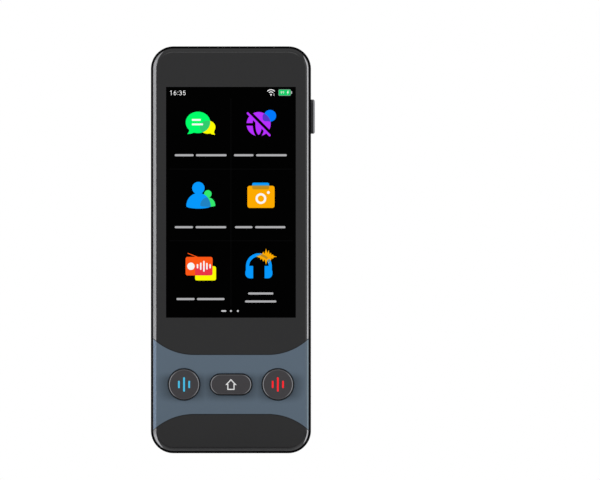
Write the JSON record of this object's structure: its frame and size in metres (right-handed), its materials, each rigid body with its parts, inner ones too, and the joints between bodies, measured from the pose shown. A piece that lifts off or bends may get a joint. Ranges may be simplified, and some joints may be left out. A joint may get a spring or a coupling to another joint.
{
  "type": "handheld translator",
  "caption": "Slim handheld translator: display above a curved key band with two talk buttons and a home button, side button, rear camera and speaker grille, USB-C port.",
  "frame": {"origin": "mouth of the USB-C port, in the middle of the bottom end, at mid-depth of the body", "axes": "+Z along the length towards the top end, +X to the right as the front is seen, the front (display and keys) faces -Y and the camera side faces +Y"},
  "size_m": [0.0487, 0.0134, 0.121],
  "materials": {
    "frame_plastic": "black moulded plastic, fine satin",
    "window_panel": "hard-coated dark panel, smooth satin gloss",
    "band_panel": "blue-grey panel, satin gloss",
    "cover_plastic": "charcoal moulded plastic, fine matt grain",
    "bezel_plastic": "charcoal with a polished rim",
    "key_plastic": "dark grey satin",
    "black_glass": "black printed glass",
    "clear_glass": "coated lens glass",
    "panel_glass": "display glass",
    "white_plastic": "white light guide",
    "tape": "black adhesive tape",
    "rubber_black": "soft black rubber",
    "foam": "closed-cell foam",
    "stainless": "stamped stainless sheet",
    "circuit_board": "green solder mask",
    "polyimide": "amber flexible ribbon",
    "connector_plastic": "black high-temperature plastic",
    "chip_resin": "black moulding resin",
    "microphone_metal": "gilt can",
    "pouch": "laminated foil pouch",
    "copper": "copper film",
    "mesh_fabric": "black acoustic mesh",
    "magnet_steel": "plated magnet cup",
    "diaphragm_film": "pressed film"
  },
  "bodies": {
    "device": {"antenna": "copper", "backlight": "white_plastic", "battery_board": "circuit_board", "battery_cell": "pouch", "battery_connector": "connector_plastic", "battery_foam": "foam", "battery_tail": "polyimide", "battery_tape": "tape", "bottom_microphone": "microphone_metal", "bottom_microphone_seal": "rubber_black", "camera_barrel": "connector_plastic", "camera_bezel": "bezel_plastic", "camera_body": "connector_plastic", "camera_foam": "foam", "camera_front_element": "clear_glass", "camera_lens_cover": "clear_glass", "camera_window": "black_glass", "chin_panel": "window_panel", "chin_tape": "tape", "display_connector": "connector_plastic", "display_flex": "polyimide", "display_plate": "stainless", "display_window": "window_panel", "display_window_tape": "tape", "grille_mesh": "mesh_fabric", "home_switch": "connector_plastic", "key_band": "band_panel", "key_band_tape": "tape", "lcd_glass": "panel_glass", "left_shield_can": "stainless", "left_talk_switch": "connector_plastic", "main_board": "circuit_board", "memory_chip": "chip_resin", "processor_chip": "chip_resin", "rear_cover": "cover_plastic", "right_shield_can": "stainless", "right_talk_switch": "connector_plastic", "side_frame": "frame_plastic", "side_switch_dome": "stainless", "side_switch_plate": "stainless", "speaker_basket": "connector_plastic", "speaker_diaphragm": "diaphragm_film", "speaker_gasket": "foam", "speaker_magnet": "magnet_steel", "speaker_surround": "rubber_black", "top_microphone": "microphone_metal", "top_microphone_seal": "rubber_black", "usb_c_shell": "stainless", "usb_c_tongue": "connector_plastic"},
    "left_talk_button": {"left_talk_key": "key_plastic", "left_talk_key_foot": "rubber_black"},
    "home_button": {"home_key": "key_plastic", "home_key_foot": "rubber_black"},
    "right_talk_button": {"right_talk_key": "key_plastic", "right_talk_key_foot": "rubber_black"},
    "side_button": {"side_key": "key_plastic", "side_key_foot": "rubber_black"}
  },
  "joints": [
    {"name": "left_talk_press", "type": "slide", "parent": "device", "child": "left_talk_button", "axis": [0, 1, 0], "range_m": [0, 0.0003], "stiffness_N_per_m": 4000, "springref_m": -0.0001},
    {"name": "home_press", "type": "slide", "parent": "device", "child": "home_button", "axis": [0, 1, 0], "range_m": [0, 0.0003], "stiffness_N_per_m": 4000, "springref_m": -0.0001},
    {"name": "right_talk_press", "type": "slide", "parent": "device", "child": "right_talk_button", "axis": [0, 1, 0], "range_m": [0, 0.0003], "stiffness_N_per_m": 4000, "springref_m": -0.0001},
    {"name": "side_press", "type": "slide", "parent": "device", "child": "side_button", "axis": [-1, 0, 0], "range_m": [0, 0.0003], "stiffness_N_per_m": 4000, "springref_m": -0.0001}
  ]
}
